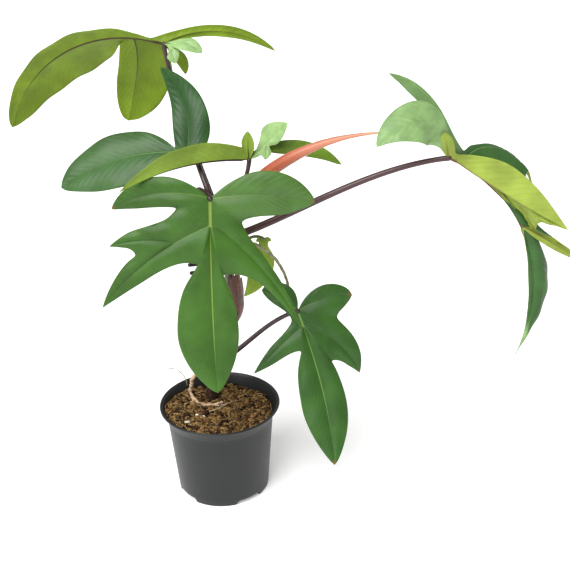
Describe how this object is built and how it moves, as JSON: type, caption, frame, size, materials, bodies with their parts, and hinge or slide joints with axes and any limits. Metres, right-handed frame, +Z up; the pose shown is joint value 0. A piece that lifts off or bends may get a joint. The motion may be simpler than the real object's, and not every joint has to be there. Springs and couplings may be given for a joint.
{
  "type": "potted philodendron",
  "caption": "Climbing philodendron with deeply cut, drooping lobed leaves on long dark stalks and a red rolled new leaf, in a small round black nursery pot.",
  "frame": {"origin": "middle of the pot's flat underside, on the surface it stands on", "axes": "+Z up, the way the pot stands; +X towards the long right-hand leaf, and the plant's longest extent; -Y the front, the side the big front leaf faces"},
  "size_m": [0.543, 0.199, 0.4598],
  "materials": {
    "pot_plastic": "satin black nursery plastic",
    "potting_soil": "loose brown coir and peat fibre",
    "leaf_green": "glossy mid-green leaf with pale yellow-green veins",
    "young_leaf_green": "yellow-green leaf, silky on its underside",
    "petiole_dark": "smooth dark maroon leaf stalk",
    "stem_green": "olive-green stem with brown rings",
    "sheath_red": "dry red-brown papery scale",
    "spike_red": "smooth orange-red rolled leaf",
    "root_tan": "matt tan root bark",
    "tie_black": "matt black soft plastic",
    "grain_white": "chalky white grains"
  },
  "bodies": {
    "root": {"pot": "pot_plastic", "soil": "potting_soil", "stem": "stem_green", "old_sheath": "sheath_red", "new_leaf": "spike_red", "plant_tie": "tie_black", "aerial_root": "root_tan", "surface_root": "root_tan", "thin_root": "root_tan", "hair_root": "root_tan", "leaf_front": "leaf_green", "leaf_lower": "leaf_green", "leaf_left": "leaf_green", "leaf_middle": "young_leaf_green", "leaf_right": "young_leaf_green", "leaf_top": "young_leaf_green", "leaf_young": "young_leaf_green", "petiole_front": "petiole_dark", "petiole_left": "petiole_dark", "petiole_top": "petiole_dark", "petiole_middle": "petiole_dark", "petiole_right": "petiole_dark", "petiole_lower": "petiole_dark", "petiole_young": "petiole_dark", "perlite_grain_1": "grain_white", "perlite_grain_2": "grain_white", "bark_flake": "grain_white"}
  },
  "joints": []
}
